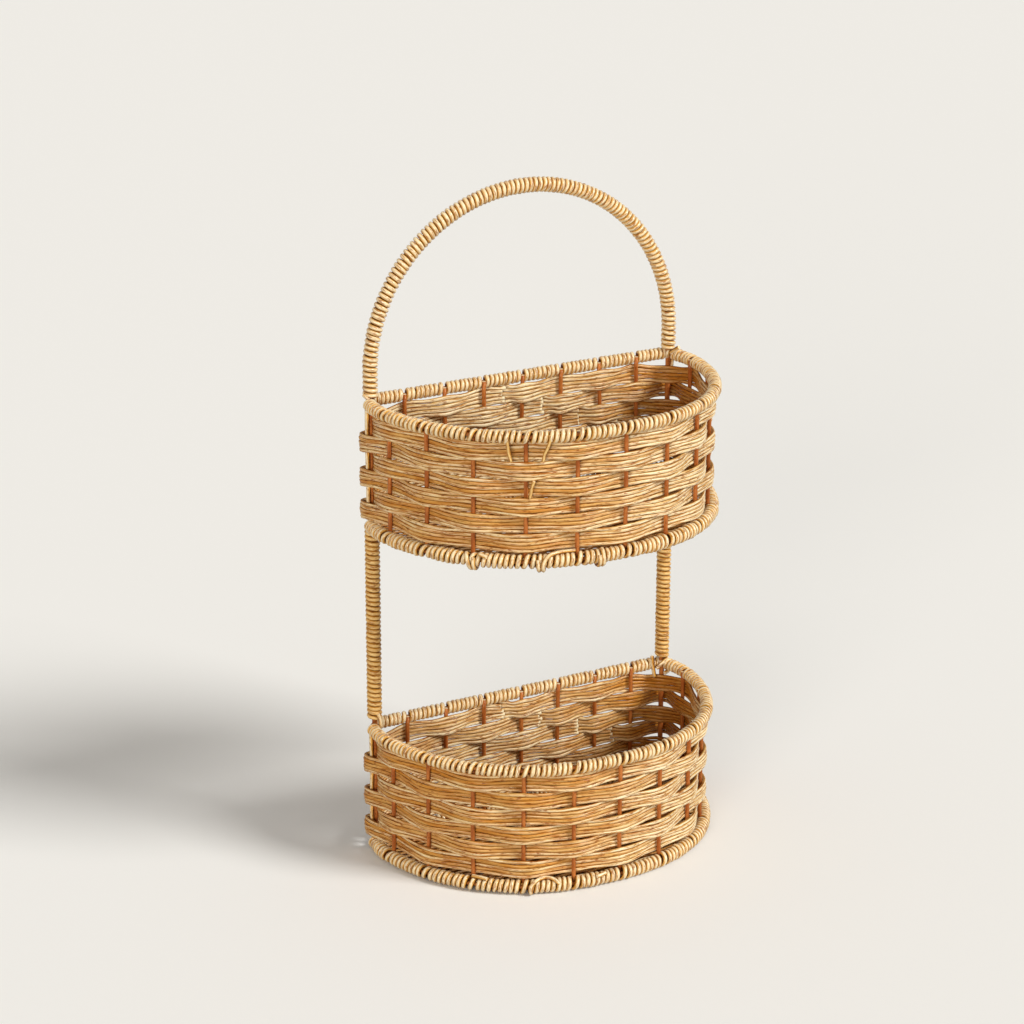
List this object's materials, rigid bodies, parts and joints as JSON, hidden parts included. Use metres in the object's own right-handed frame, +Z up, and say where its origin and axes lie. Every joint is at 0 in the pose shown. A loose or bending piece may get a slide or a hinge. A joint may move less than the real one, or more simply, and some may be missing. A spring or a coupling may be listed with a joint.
{
  "type": "two-tier woven hanging basket",
  "caption": "Two half-round woven cane baskets, one above the other, on a cord-wrapped wire hanger that arches over the top to hang on a wall hook.",
  "frame": {"origin": "middle of the footprint, on the surface that the lower basket stands on", "axes": "+Z up along the hanger's legs, +X along the wall, +Y towards the wall behind the straight backs"},
  "size_m": [0.3038, 0.1718, 0.5542],
  "materials": {
    "cane": "satin split cane",
    "cord": "glossy pale cane cord",
    "coated_wire": "satin brown coating"
  },
  "bodies": {
    "root": {"hanger_hoop": "coated_wire", "arch_wrap": "cord", "left_leg_wrap": "cord", "right_leg_wrap": "cord", "upper_bottom_rim": "cord", "upper_top_rim": "cord", "upper_floor": "cane", "upper_back_stake_1": "coated_wire", "upper_back_stake_2": "coated_wire", "upper_back_stake_3": "coated_wire", "upper_back_stake_4": "coated_wire", "upper_back_stake_5": "coated_wire", "upper_back_stake_6": "coated_wire", "upper_back_stake_7": "coated_wire", "upper_front_stake_1": "coated_wire", "upper_front_stake_2": "coated_wire", "upper_front_stake_3": "coated_wire", "upper_front_stake_4": "coated_wire", "upper_front_stake_5": "coated_wire", "upper_front_stake_6": "coated_wire", "upper_front_stake_7": "coated_wire", "upper_front_stake_8": "coated_wire", "upper_front_stake_9": "coated_wire", "upper_front_stake_10": "coated_wire", "upper_front_stake_11": "coated_wire", "upper_band_1": "cane", "upper_band_2": "cane", "upper_band_3": "cane", "upper_band_4": "cane", "upper_band_5": "cane", "upper_band_6": "cane", "lower_bottom_rim": "cord", "lower_top_rim": "cord", "lower_floor": "cane", "lower_back_stake_1": "coated_wire", "lower_back_stake_2": "coated_wire", "lower_back_stake_3": "coated_wire", "lower_back_stake_4": "coated_wire", "lower_back_stake_5": "coated_wire", "lower_back_stake_6": "coated_wire", "lower_back_stake_7": "coated_wire", "lower_front_stake_1": "coated_wire", "lower_front_stake_2": "coated_wire", "lower_front_stake_3": "coated_wire", "lower_front_stake_4": "coated_wire", "lower_front_stake_5": "coated_wire", "lower_front_stake_6": "coated_wire", "lower_front_stake_7": "coated_wire", "lower_front_stake_8": "coated_wire", "lower_front_stake_9": "coated_wire", "lower_front_stake_10": "coated_wire", "lower_front_stake_11": "coated_wire", "lower_band_1": "cane", "lower_band_2": "cane", "lower_band_3": "cane", "lower_band_4": "cane", "lower_band_5": "cane", "lower_band_6": "cane"}
  },
  "joints": []
}
